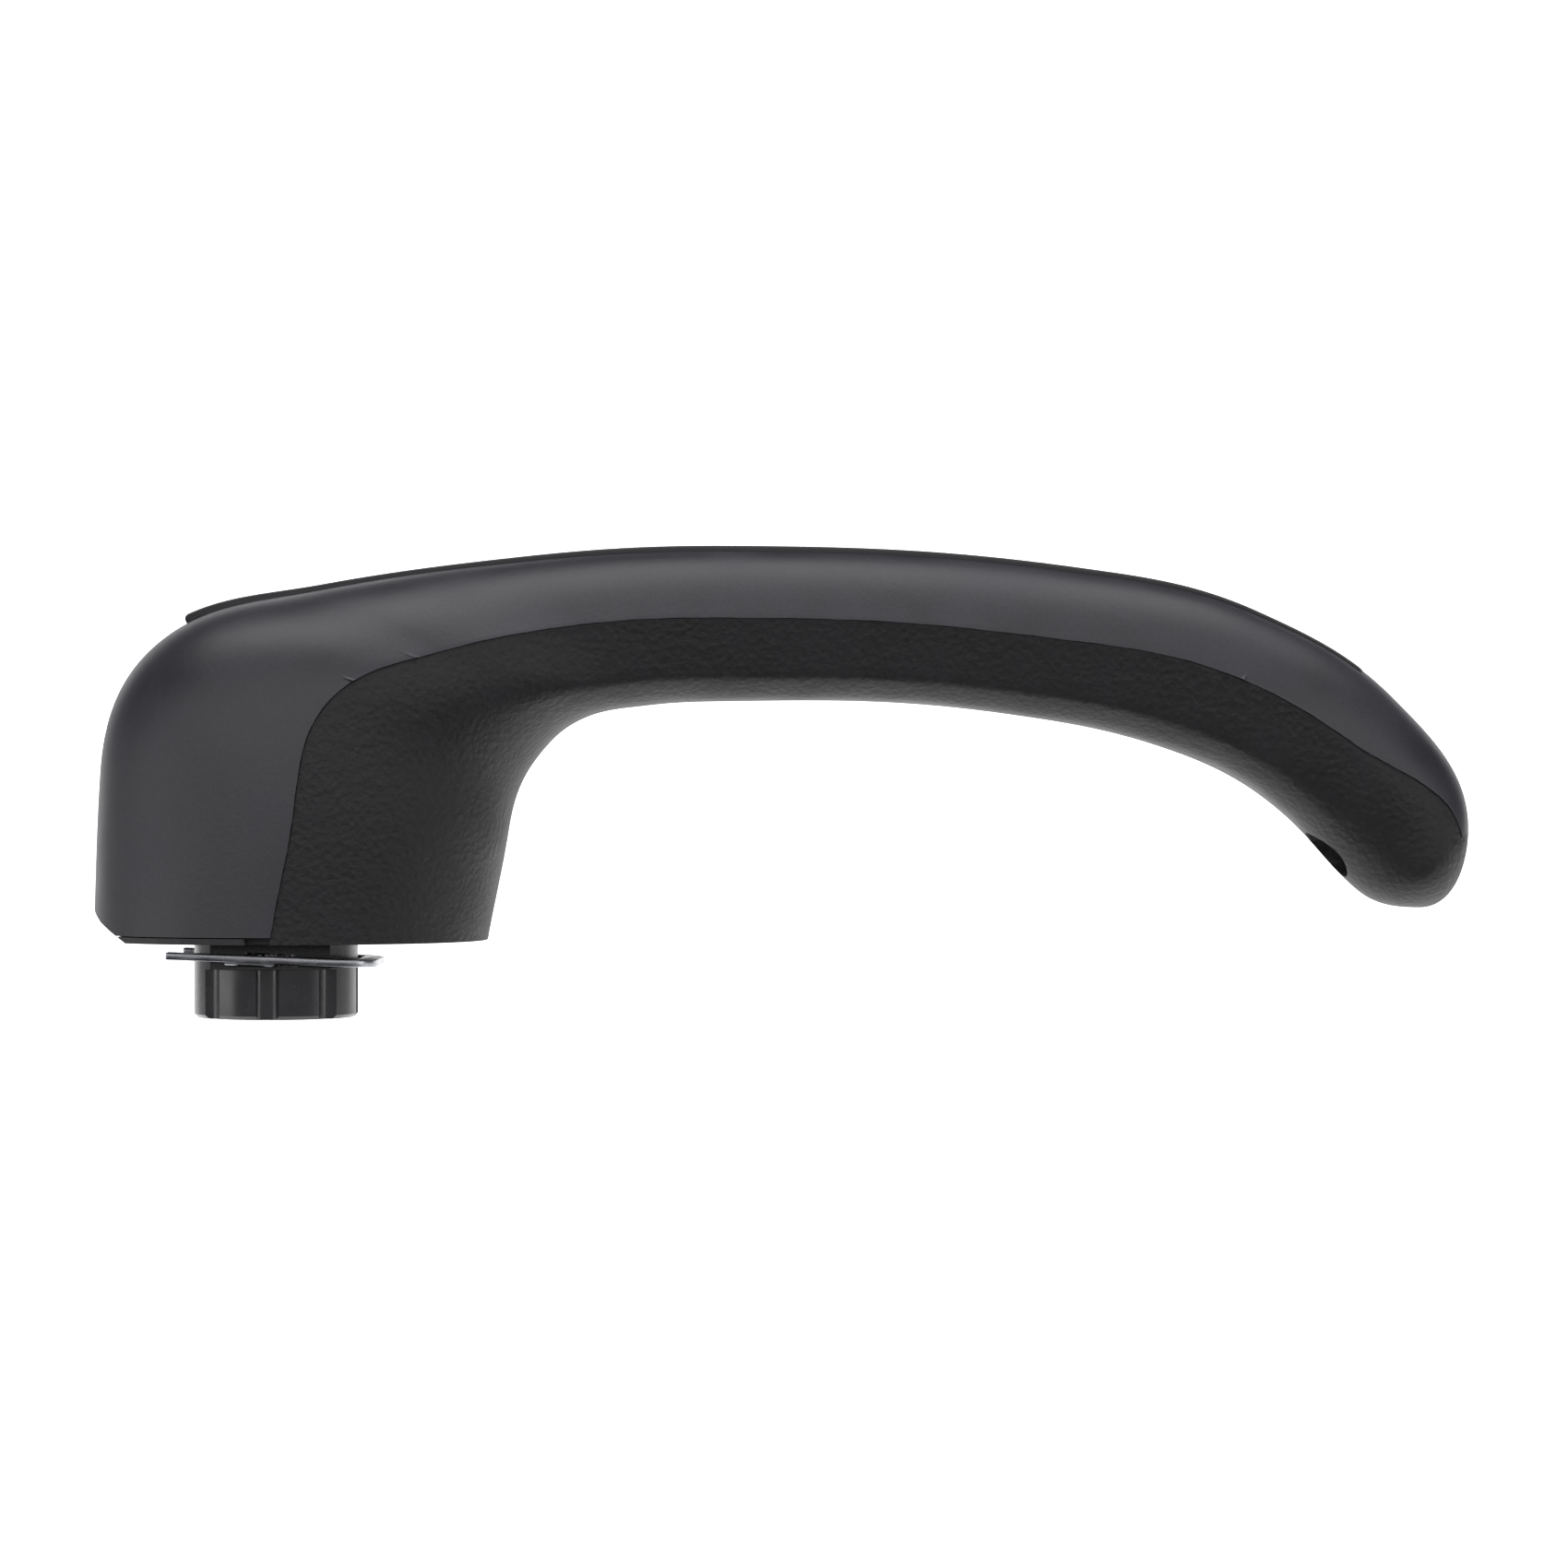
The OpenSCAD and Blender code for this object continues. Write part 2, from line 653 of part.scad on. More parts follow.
// the boss below the slots, fluted outside and splined inside
module fluted_outline() {
    difference() {
        circle(boss_radius);
        for (i = [0:flute_count - 1])
        rotate(360 * i / flute_count - 90)
        translate([boss_radius + flute_round - flute_depth, 0])
        circle(flute_round);
        spline_bore();
    }
}

// the boss beside the slots, with a flat on each side as a seat for the clip's legs
module slotted_outline() {
    difference() {
        circle(boss_radius);
        for (side = [-1, 1])
        translate([0, side * (leg_seat + boss_radius)])
        square([4 * boss_radius, 2 * boss_radius], center = true);
        spline_bore();
    }
}

// the channels that the clip's noses slide in, open towards the loop
module nose_channels() {
    translate([0, 0, clip_middle])
    rotate([0, clip_tilt, 0])
    for (side = [-1, 1])
    translate([nose_stop - 0.1 + boss_radius, side * (nose_seat + boss_radius / 2), 0])
    cube([2 * boss_radius, boss_radius, clip_thickness + 2 * passing_play], center = true);
}

module spindle_socket() {
    color("#18181a")
    difference() {
        union() {
            intersection() {
                translate([0, 0, -boss_length])
                linear_extrude(boss_length + slot_base)
                fluted_outline();
                translate([0, 0, -boss_length])
                cylinder(h = 2 * boss_length, r1 = boss_radius - edge_ease,
                    r2 = boss_radius - edge_ease + 2 * boss_length);
            }
            translate([0, 0, slot_base])
            linear_extrude(slot_height)
            slotted_outline();
            rotate_extrude()
            polygon([[0, slot_top], [boss_radius, slot_top], [boss_radius, flange_top - 0.5],
                [spigot_radius, flange_top - 0.5],
                [spigot_radius, flange_top + spigot_length - edge_ease],
                [spigot_radius - edge_ease, flange_top + spigot_length],
                [0, flange_top + spigot_length]]);
            translate([0, 0, flange_base])
            linear_extrude(flange_thickness)
            intersection() {
                circle(flange_radius);
                hub_room();
            }
        }
        nose_channels();
        translate([0, 0, slot_top - 0.1])
        cylinder(h = pilot_depth - slot_top + 0.1, r = pilot_radius);
        for (turn = socket_screw_angles)
        rotate(turn)
        translate([socket_screw_circle, 0, flange_base - 1]) {
            cylinder(h = flange_thickness + 2, r = small_screw_radius + shank_play);
            cylinder(h = countersink + 1, r = small_head_radius + locating_play);
        }
    }
}

// the noses that grip the spindle's groove, and the channels that they slide in
nose_stop = -2.6;
nose_flat = 2.2;
nose_end = nose_stop + 3.8;
nose_seat = nose_reach - 0.1;

// the clip, drawn flat with its loop towards +X
clip_leg_in = leg_seat + 0.1;
clip_leg_out = clip_leg_in + clip_leg_width;
clip_free_end = boss_radius + leg_overhang;
clip_loop_end = boss_radius + loop_room + clip_leg_width;
clip_corner = 4;
tab_middle = -2;
tab_length = 5.4;
clip_middle = slot_top - 0.593 * slot_height;

module clip_outline(out, reach, corner) {
    translate([-clip_free_end, -out])
    square([clip_free_end + reach - corner, 2 * out]);
    translate([0, corner - out])
    square([reach, 2 * (out - corner)]);
    for (side = [-1, 1])
    translate([reach - corner, side * (out - corner)])
    circle(corner);
}

module retaining_clip() {
    color("#b9bcc0")
    translate([0, 0, clip_middle])
    rotate([0, clip_tilt, 0]) {
        linear_extrude(clip_thickness, center = true)
        union() {
            difference() {
                clip_outline(clip_leg_out, clip_loop_end, clip_corner);
                translate([-tiny, 0])
                clip_outline(clip_leg_in, clip_loop_end - clip_leg_width,
                    clip_corner - clip_leg_width);
            }
            for (side = [-1, 1])
            polygon([[nose_stop, side * (clip_leg_in + 0.5)], [nose_stop, side * nose_reach],
                [nose_stop + nose_flat, side * nose_reach], [nose_end, side * clip_leg_in],
                [nose_end, side * (clip_leg_in + 0.5)]]);
        }
        for (side = [-1, 1])
        translate([tab_middle, side * (clip_leg_in + clip_leg_out) / 2,
            -clip_thickness / 2 - clip_tab / 2])
        cube([tab_length, clip_leg_width - 0.4, clip_tab + 2 * tiny], center = true);
    }
}

module base_plate() {
    color("#242426")
    difference() {
        union() {
            linear_extrude(plate_thickness)
            base_outline(shell_wall + passing_play);
            linear_extrude(plate_lip)
            intersection() {
                base_outline(lip_inset);
                translate([-2 * hub_width - lip_end, -hub_width])
                square([2 * hub_width, 2 * hub_width]);
            }
        }
        under_heel();
        translate([0, 0, -1])
        cylinder(h = plate_top + 2, r = boss_radius + passing_play);
        for (p = base_screw_places)
        translate([p[0], p[1], -1]) {
            cylinder(h = plate_top + 2, r = small_screw_radius + shank_play);
            cylinder(h = 1 + screw_sink + countersink, r = small_head_radius + passing_play);
        }
    }
}

module base_screws() {
    color("#3c3c40")
    for (p = base_screw_places)
    translate([p[0], p[1], screw_sink])
    screw(small_screw_radius, small_head_radius, countersink, base_screw_length);
}

module socket_screws() {
    color("#77797d")
    for (turn = socket_screw_angles)
    rotate(turn)
    translate([socket_screw_circle, 0, flange_base])
    screw(small_screw_radius, small_head_radius, countersink,
        flange_thickness + socket_screw_grip);
}

module tip_screw() {
    color("#55575b")
    at_tip(tip_recess_depth - tip_head_height)
    screw(tip_screw_radius, tip_head_radius, tip_head_height, tip_boss_end - tip_recess_depth);
}

outer_shell();
inner_shell();
crown_strip();
core_arm();
spindle_socket();
retaining_clip();
base_plate();
base_screws();
socket_screws();
tip_screw();
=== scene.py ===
import math

import bmesh
import bpy
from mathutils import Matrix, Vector


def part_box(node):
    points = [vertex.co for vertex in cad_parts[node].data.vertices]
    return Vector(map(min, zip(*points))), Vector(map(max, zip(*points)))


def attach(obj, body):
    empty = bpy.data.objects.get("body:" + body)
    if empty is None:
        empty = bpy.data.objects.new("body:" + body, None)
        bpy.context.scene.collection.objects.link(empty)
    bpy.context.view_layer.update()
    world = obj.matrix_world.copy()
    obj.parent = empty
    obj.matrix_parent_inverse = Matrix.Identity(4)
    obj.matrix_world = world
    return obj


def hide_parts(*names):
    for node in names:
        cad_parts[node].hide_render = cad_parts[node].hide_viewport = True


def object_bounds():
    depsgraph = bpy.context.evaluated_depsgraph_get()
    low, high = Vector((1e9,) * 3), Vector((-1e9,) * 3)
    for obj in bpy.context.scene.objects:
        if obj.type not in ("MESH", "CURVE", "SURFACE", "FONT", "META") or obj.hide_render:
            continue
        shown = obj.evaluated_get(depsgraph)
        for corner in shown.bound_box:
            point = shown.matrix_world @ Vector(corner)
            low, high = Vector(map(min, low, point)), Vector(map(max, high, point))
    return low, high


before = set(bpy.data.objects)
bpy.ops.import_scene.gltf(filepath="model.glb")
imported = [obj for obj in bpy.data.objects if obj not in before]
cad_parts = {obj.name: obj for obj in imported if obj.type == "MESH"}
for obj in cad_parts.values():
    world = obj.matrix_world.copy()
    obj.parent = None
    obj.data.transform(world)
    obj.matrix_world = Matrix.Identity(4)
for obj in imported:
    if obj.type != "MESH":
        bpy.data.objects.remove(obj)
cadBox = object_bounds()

print("door handle: frame loaded")
mm = 0.001  # the shape is worked out in millimetres and drawn in metres


def corners(node):
    # a CAD node's lowest and highest corners, in millimetres
    return [[value / mm for value in corner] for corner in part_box(node)]


plateLow, plateHigh = corners("base_plate")
shellHigh = corners("outer_shell")[1]
stripHigh = corners("crown_strip")[1]
clipLow = corners("retaining_clip")[0]

lever = dict(
    wall=2.0,
    plateInset=2.25,  # shell wall plus the play round the base plate
    depth=16.25,  # crown to underside of the grip
    width=21.0,  # across the grip
    tipLift=3.5,  # the tip's lowest point over the base
)
hubFront = lever["plateInset"] - plateLow[0]
hubBack = lever["plateInset"] + plateHigh[0]
hubHalf = shellHigh[1] + 0.02
reach = shellHigh[0]
arch = shellHigh[2] - 0.01
underside = arch - lever["depth"]
tipHalf = 0.4 * lever["width"]


def along(share):
    return hubBack + share * (reach - hubBack)


# crown line and underside line, each knot as x, z and heading in degrees
crownLine = [
    (-hubFront, 0, 88), (-hubFront + 0.7, 0.423 * arch, 86),
    (-0.635 * hubFront, 0.758 * arch, 40), (0.216 * hubBack, 0.894 * arch, 11),
    (along(0.036), 0.9705 * arch, 6.5), (along(0.252), arch, -0.3),
    (along(0.588), 0.95 * arch, -7.6), (along(0.784), 0.837 * arch, -24),
    (along(0.922), 0.622 * arch, -45), (reach, 0.282 * arch, -91),
    (along(0.952), lever["tipLift"], -180)]
underLine = [
    (hubBack, 0, 80), (along(0.0215), 0.456 * underside, 81),
    (along(0.0514), 0.76 * underside, 52), (along(0.0925), 0.909 * underside, 27),
    (along(0.162), 0.973 * underside, 7), (along(0.27), 0.992 * underside, 1),
    (along(0.532), 0.938 * underside, -8), (along(0.697), 0.791 * underside, -19),
    (along(0.817), 0.513 * underside, -42), (along(0.889), 0.205 * underside, -40),
    (along(0.952), lever["tipLift"], 0)]

# down the body: half width, the seam's depth share, the widest depth share, how square the
# upper and lower sides are, how much each leans in, and the facet along the lower corners
halfWidths = [hubHalf, 0.98 * hubHalf, 0.91 * hubHalf, 0.6 * lever["width"] + 0.1 * hubHalf,
              0.56 * lever["width"], 0.505 * lever["width"], 0.495 * lever["width"],
              0.485 * lever["width"], 0.455 * lever["width"], tipHalf, tipHalf]
seamShares = [0.49, 0.516, 0.495, 0.498, 0.47, 0.475, 0.49, 0.455, 0.42, 0.12, 0.1]
widestShares = [0.49, 0.516, 0.495, 0.498, 0.47, 0.475, 0.49, 0.46, 0.45, 0.45, 0.5]
crownPowers = [2.2, 2.3, 3, 3.4, 3.8, 4, 4, 3.8, 3, 2.4, 2.2]
underPowers = [2.2, 2.2, 2.3, 3.4, 6, 8, 8, 7, 4, 2.2, 2.2]
leans = [0, 0, 0.04, 0.16, 0.26, 0.3, 0.3, 0.28, 0.16, 0.04, 0]
underLeans = [0.02, 0.03, 0.06, 0.1, 0.12, 0.12, 0.12, 0.12, 0.1, 0.06, 0.06]
facets = [0, 0, 0, 0.1, 0.2, 0.22, 0.22, 0.2, 0.12, 0, 0]
facetStart = 0.72
lastRow = 9
tipRow = 9


def rowOf(s):
    return min(int(s), lastRow)


def lineAt(line, s):
    # cubic curve between two knots that leaves and arrives on their headings
    row = rowOf(s)
    t = s - row
    a = Vector(line[row][:2])
    d = Vector(line[row + 1][:2])
    pull = 0.37 * (d - a).length
    leave = math.radians(line[row][2])
    arrive = math.radians(line[row + 1][2])
    b = a + pull * Vector((math.cos(leave), math.sin(leave)))
    c = d - pull * Vector((math.cos(arrive), math.sin(arrive)))
    return (1 - t) ** 3 * a + 3 * (1 - t) ** 2 * t * b + 3 * (1 - t) * t * t * c + t ** 3 * d


def valueAt(values, s):
    # smooth value between two rows of a list
    row = rowOf(s)
    t = s - row
    a, b = values[row], values[row + 1]
    before = (b - values[row - 1]) / 2 if row > 0 else b - a
    after = (values[row + 2] - a) / 2 if row < lastRow else b - a
    return (a * (2 * t ** 3 - 3 * t * t + 1) + before * (t ** 3 - 2 * t * t + t)
            + b * (3 * t * t - 2 * t ** 3) + after * (t ** 3 - t * t))


def sectionAt(s):
    # everything a ring needs at one station of the body
    crown = lineAt(crownLine, s)
    run = lineAt(underLine, s) - crown
    half = tipHalf * math.cos(math.pi / 2 * (s - tipRow)) if s > tipRow else valueAt(halfWidths, s)
    return dict(s=s, crown=crown, chord=run.length, heading=run / run.length, half=half,
                seam=valueAt(seamShares, s) * run.length, widest=valueAt(widestShares, s),
                upperPower=valueAt(crownPowers, s), lowerPower=valueAt(underPowers, s),
                lean=valueAt(leans, s), underLean=valueAt(underLeans, s),
                facet=valueAt(facets, s))


def bulge(section, share):
    # half width at a share of the depth, as a share of the full half width
    widest = section["widest"]
    if share < widest:
        up = (widest - share) / widest
        power = section["upperPower"]
        return max(1 - up ** power, 0) ** (1 / power) * (1 - section["lean"] * up)
    down = min((share - widest) / (1 - widest), 1)
    power = section["lowerPower"]
    past = max(down - facetStart, 0) / (1 - facetStart)
    cut = section["facet"] * past * past / (past + 0.12)
    return (max(1 - down ** power, 0) ** (1 / power) * (1 - section["underLean"] * down)
            * (1 - cut))


def skinHalf(section, depth, inset):
    chord = section["chord"] - 2 * inset
    return (section["half"] - inset) * bulge(section, (depth - inset) / chord)


def bodyPoint(section, depth, y):
    place = section["crown"] + depth * section["heading"]
    return (place[0], y, place[1])


def meshPiece(name, points, faces, material, node, body, crease=32):
    # one closed mesh that stands for a CAD node and moves with its body
    mesh = bpy.data.meshes.new(name)
    mesh.from_pydata([[value * mm for value in point] for point in points], [], faces)
    mesh.validate()
    piece = bpy.data.objects.new(name, mesh)
    bpy.context.scene.collection.objects.link(piece)
    finishMesh(mesh, crease)
    mesh.materials.append(material)
    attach(piece, body)
    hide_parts(node)
    return piece


def finishMesh(mesh, crease):
    work = bmesh.new()
    work.from_mesh(mesh)
    bmesh.ops.remove_doubles(work, verts=work.verts, dist=0.0005 * mm)
    bmesh.ops.recalc_face_normals(work, faces=work.faces)
    work.to_mesh(mesh)
    work.free()
    mesh.polygons.foreach_set("use_smooth", [True] * len(mesh.polygons))
    mesh.set_sharp_from_angle(angle=math.radians(crease))


def loftFaces(ringCount, ringSize):
    # walls between rings that each run out along one arc and back along another, and both ends
    faces = []
    for k in range(ringCount - 1):
        for j in range(ringSize):
            a = k * ringSize + j
            b = k * ringSize + (j + 1) % ringSize
            faces.append((a, b, b + ringSize, a + ringSize))
    for k in (0, ringCount - 1):
        for j in range(ringSize // 2 - 1):
            a = k * ringSize + j
            b = k * ringSize + ringSize - 1 - j
            faces.append((a, a + 1, b - 1, b))
    return faces


def cutBelow(mesh, place, direction):
    # takes away what lies beyond a plane and closes the cut
    work = bmesh.new()
    work.from_mesh(mesh)
    cut = bmesh.ops.bisect_plane(
        work, geom=list(work.verts) + list(work.edges) + list(work.faces), dist=0.0005 * mm,
        plane_co=[value * mm for value in place], plane_no=direction, clear_outer=True)
    rim = [item for item in cut["geom_cut"] if isinstance(item, bmesh.types.BMEdge)]
    if rim:
        bmesh.ops.edgeloop_fill(work, edges=rim)
    work.to_mesh(mesh)
    work.free()


# finishes

def linear(code):
    # an sRGB hex value as linear light
    channels = [int(code[i:i + 2], 16) / 255 for i in (1, 3, 5)]
    return [c / 12.92 if c <= 0.04045 else ((c + 0.055) / 1.055) ** 2.4 for c in channels] + [1]


def addNode(tree, kind, settings=None, links=None):
    # one node with its settings, and links given as input: (node, output)
    node = tree.nodes.new(kind)
    for name, value in (settings or {}).items():
        if hasattr(node, name) and name not in node.inputs:
            setattr(node, name, value)
        else:
            node.inputs[name].default_value = value
    for name, (source, output) in (links or {}).items():
        tree.links.new(source.outputs[output], node.inputs[name])
    return node


def newMaterial(name):
    material = bpy.data.materials.new(name)
    material.use_nodes = True
    tree = material.node_tree
    tree.nodes.clear()
    output = addNode(tree, "ShaderNodeOutputMaterial")
    place = addNode(tree, "ShaderNodeTexCoord")
    return material, tree, output, place


def perMetre(size):
    # a noise scale whose features are about this many millimetres across
    return 1 / (size * mm)


def ramp(tree, source, output, low, high, fromPlace=0.3, toPlace=0.7):
    # two colours across part of a pattern's range
    node = addNode(tree, "ShaderNodeValToRGB", links={"Fac": (source, output)})
    node.color_ramp.elements[0].position = fromPlace
    node.color_ramp.elements[0].color = low
    node.color_ramp.elements[1].position = toPlace
    node.color_ramp.elements[1].color = high
    return node


def mouldedPlastic(name, look):
    # moulded plastic: a tool-texture grain in the bump and a slow drift in its gloss
    material, tree, output, place = newMaterial(name)
    grain = addNode(tree, "ShaderNodeTexNoise",
                    {"Scale": perMetre(look["grain"]), "Detail": 4, "Roughness": 0.62},
                    {"Vector": (place, "Object")})
    pits = addNode(tree, "ShaderNodeTexVoronoi", {"Scale": perMetre(look["pits"])},
                   {"Vector": (place, "Object")})
    drift = addNode(tree, "ShaderNodeTexNoise",
                    {"Scale": perMetre(look["drift"]), "Detail": 3, "Roughness": 0.5},
                    {"Vector": (place, "Object")})
    shade = ramp(tree, drift, "Fac", linear(look["dark"]), linear(look["light"]), 0.35, 0.68)
    speckle = ramp(tree, grain, "Fac", linear(look["speckleDark"]), linear("#ffffff"), 0.3, 0.72)
    mixed = addNode(tree, "ShaderNodeMix", {"data_type": "RGBA", "blend_type": "MULTIPLY"})
    mixed.inputs[0].default_value = look["speckle"]
    tree.links.new(shade.outputs["Color"], mixed.inputs[6])
    tree.links.new(speckle.outputs["Color"], mixed.inputs[7])
    gloss = addNode(tree, "ShaderNodeMapRange",
                    {"From Min": 0.3, "From Max": 0.7, "To Min": look["roughLow"],
                     "To Max": look["roughHigh"]}, {"Value": (drift, "Fac")})
    fine = addNode(tree, "ShaderNodeBump",
                   {"Strength": look["grainStrength"], "Distance": look["grainDepth"] * mm},
                   {"Height": (grain, "Fac")})
    deep = addNode(tree, "ShaderNodeBump",
                   {"Strength": look["pitStrength"], "Distance": look["grainDepth"] * mm},
                   {"Height": (pits, "Distance"), "Normal": (fine, "Normal")})
    shader = addNode(tree, "ShaderNodeBsdfPrincipled",
                     {"IOR": look["ior"], "Specular IOR Level": look["specular"]},
                     {"Roughness": (gloss, "Result"), "Normal": (deep, "Normal")})
    tree.links.new(mixed.outputs[2], shader.inputs["Base Color"])
    tree.links.new(shader.outputs["BSDF"], output.inputs["Surface"])
    return material


# glass-filled nylon from a fine satin tool: charcoal with a soft sheen
satinNylon = mouldedPlastic("satinNylonMoulded", dict(
    dark="#27262c", light="#2f2e35", speckleDark="#a8a8ac", speckle=0.45, grain=0.35, pits=0.9,
    drift=9, grainDepth=0.03, grainStrength=0.5, pitStrength=0.15, roughLow=0.42,
    roughHigh=0.5, ior=1.52, specular=0.5))
# the same nylon from a spark-eroded tool, with a dry grain that breaks up the light; darker, partly
# for the grain and partly as painted shade for the shade that falls below the seam
erodedNylonWithPaintedShade = mouldedPlastic("sparkErodedNylonPaintedShade", dict(
    dark="#0f0e11", light="#17161a", speckleDark="#74747a", speckle=0.7, grain=0.5, pits=0.8,
    drift=7, grainDepth=0.12, grainStrength=1.0, pitStrength=0.6, roughLow=0.5, roughHigh=0.6,
    ior=1.52, specular=0.4))
# soft-touch elastomer over-mould: near black and matt
softStrip = mouldedPlastic("softTouchElastomer", dict(
    dark="#161517", light="#1c1b1e", speckleDark="#b0b0b2", speckle=0.3, grain=0.3, pits=0.6,
    drift=12, grainDepth=0.015, grainStrength=0.3, pitStrength=0.15, roughLow=0.62,
    roughHigh=0.7, ior=1.5, specular=0.3))
# acetal from a polished tool: black with a clear gloss
glossAcetal = mouldedPlastic("polishedAcetal", dict(
    dark="#1d1d20", light="#262629", speckleDark="#c8c8c8", speckle=0.2, grain=0.8, pits=2.2,
    drift=5, grainDepth=0.01, grainStrength=0.12, pitStrength=0.08, roughLow=0.24,
    roughHigh=0.32, ior=1.48, specular=0.55))
# the base plate: the same black plastic with a plain moulded face
plainNylon = mouldedPlastic("plainNylonMoulded", dict(
    dark="#1d1d1f", light="#242426", speckleDark="#a8a8aa", speckle=0.4, grain=0.4, pits=1.1,
    drift=6, grainDepth=0.02, grainStrength=0.3, pitStrength=0.2, roughLow=0.45,
    roughHigh=0.55, ior=1.52, specular=0.45))


def worksMetal(name, look):
    # rolled, cast or plated metal: drawn lines along X, blotches in the gloss and a fine bump
    material, tree, output, place = newMaterial(name)
    stretch = addNode(tree, "ShaderNodeMapping", {"Scale": look["stretch"]},
                      {"Vector": (place, "Object")})
    lines = addNode(tree, "ShaderNodeTexNoise",
                    {"Scale": perMetre(look["line"]), "Detail": 5, "Roughness": 0.6},
                    {"Vector": (stretch, "Vector")})
    blotch = addNode(tree, "ShaderNodeTexNoise",
                     {"Scale": perMetre(look["blotch"]), "Detail": 4, "Roughness": 0.55},
                     {"Vector": (place, "Object")})
    shade = ramp(tree, blotch, "Fac", linear(look["dark"]), linear(look["light"]), 0.32, 0.66)
    gloss = addNode(tree, "ShaderNodeMapRange",
                    {"From Min": 0.3, "From Max": 0.7, "To Min": look["roughLow"],
                     "To Max": look["roughHigh"]}, {"Value": (blotch, "Fac")})
    bump = addNode(tree, "ShaderNodeBump",
                   {"Strength": look["strength"], "Distance": look["depth"] * mm},
                   {"Height": (lines, "Fac")})
    shader = addNode(tree, "ShaderNodeBsdfPrincipled", {"Metallic": 1.0},
                     {"Base Color": (shade, "Color"), "Roughness": (gloss, "Result"),
                      "Normal": (bump, "Normal")})
    tree.links.new(shader.outputs["BSDF"], output.inputs["Surface"])
    return material


# cold-rolled spring steel, tumbled bright: clear reflections with faint rolling lines
springSteel = worksMetal("tumbledSpringSteel", dict(
    stretch=(0.12, 1, 1), line=0.25, blotch=3, dark="#7c7d81", light="#a3a4a8",
    roughLow=0.2, roughHigh=0.34, strength=0.25, depth=0.006))
# steel with black zinc plating: dark, with a slight oily gloss
blackZinc = worksMetal("blackZincPlatedSteel", dict(
    stretch=(1, 1, 1), line=0.2, blotch=0.9, dark="#303236", light="#55575c",
    roughLow=0.3, roughHigh=0.45, strength=0.3, depth=0.008))
# zinc alloy as it leaves the die: grey, with soft flow marks
castZinc = worksMetal("dieCastZincAlloy", dict(
    stretch=(0.5, 1, 1), line=0.6, blotch=4, dark="#8d9094", light="#b4b7bb",
    roughLow=0.38, roughHigh=0.52, strength=0.4, depth=0.02))
print("door handle: finishes made")

# the two shells
shells = dict(
    gap=0.02,  # the open line at the seam
    step=0.2,  # the inner shell's skin is set back by this
    ease=0.06,  # rounding of the edges at the seam
    liftAtBase=0.77,  # the outer shell ends this far over the base
    heel=((0, 3.7), (1.75, 2.07), (5, 0)),  # relief under the heel: in from the front, and up
    heelEase=0.5,  # rounding where its faces meet
    nibs=((2.22, 0.24), (2.8, 0.24), (7.12, 0.2)),  # moulding nibs: station and radius
    nibReach=1.2,  # how far a nib stands out, in its own radius
    rowSpan=17.0,  # millimetres from one row to the next, near enough
)
sideSteps = 30
easeSteps = 5


def stationRange(parts):
    # stations in even steps between the given places
    stations = []
    for start, end, count in parts:
        stations += [start + (end - start) * i / count for i in range(count)]
    return stations + [parts[-1][1]]


def nibAt(s, below):
    # how far the nibs push the skin out, at a station and a depth short of the seam
    push = 0
    for station, radius in shells["nibs"]:
        away = math.hypot((s - station) * shells["rowSpan"], below) / radius
        push += shells["nibReach"] * radius * math.exp(-away ** 2)
    return push


def seamRagged(s, side):
    # the parting line wanders a few hundredths of a millimetre
    wander = 0.018 * math.sin(23 * s + side) + 0.014 * math.sin(61 * s + 2 * side)
    return wander + 0.01 * math.sin(143 * s)


def easedDepths(start, edge, ease):
    # depths from start to an eased edge, and how far the skin pulls in at each
    flat = edge - ease
    depths = [(start + (flat - start) * (1 - math.cos(math.pi / 2 * i / sideSteps)), 0)
              for i in range(sideSteps + 1)]
    for i in range(1, easeSteps + 1):
        turn = math.pi / 2 * i / easeSteps
        depths.append((flat + ease * math.sin(turn), ease * (1 - math.cos(turn))))
    return depths


def outerRing(s):
    section = sectionAt(s)
    edge = section["seam"] - shells["gap"] / 2
    ease = min(shells["ease"], 0.4 * edge)
    sides = {}
    for side in (-1, 1):
        depths = easedDepths(0, edge + seamRagged(s, side) * min(edge, 1), ease)
        last = depths[-1][0]
        sides[side] = [bodyPoint(section, depth, side * max(
            skinHalf(section, depth, 0) - pull + (nibAt(s, last - depth) if side < 0 else 0), 0))
                       for depth, pull in depths]
    outside = sides[1][::-1] + sides[-1][1:]
    count = len(outside) // 2
    wall = min(lever["wall"], 0.5 * edge)
    depthsIn = [wall + (edge - wall) * (1 - math.cos(math.pi / 2 * i / count))
                for i in range(count + 1)]
    inside = []
    for i in range(-count, count + 1):
        side = (i > 0) - (i < 0)
        depth = depthsIn[abs(i)]
        half = min(skinHalf(section, depth, wall), section["half"] - wall)
        inside.append(bodyPoint(section, depth, side * max(half, 0)))
    return outside + inside


def innerHalf(section, depth):
    return (section["half"] - shells["step"]) * bulge(section, depth / section["chord"])


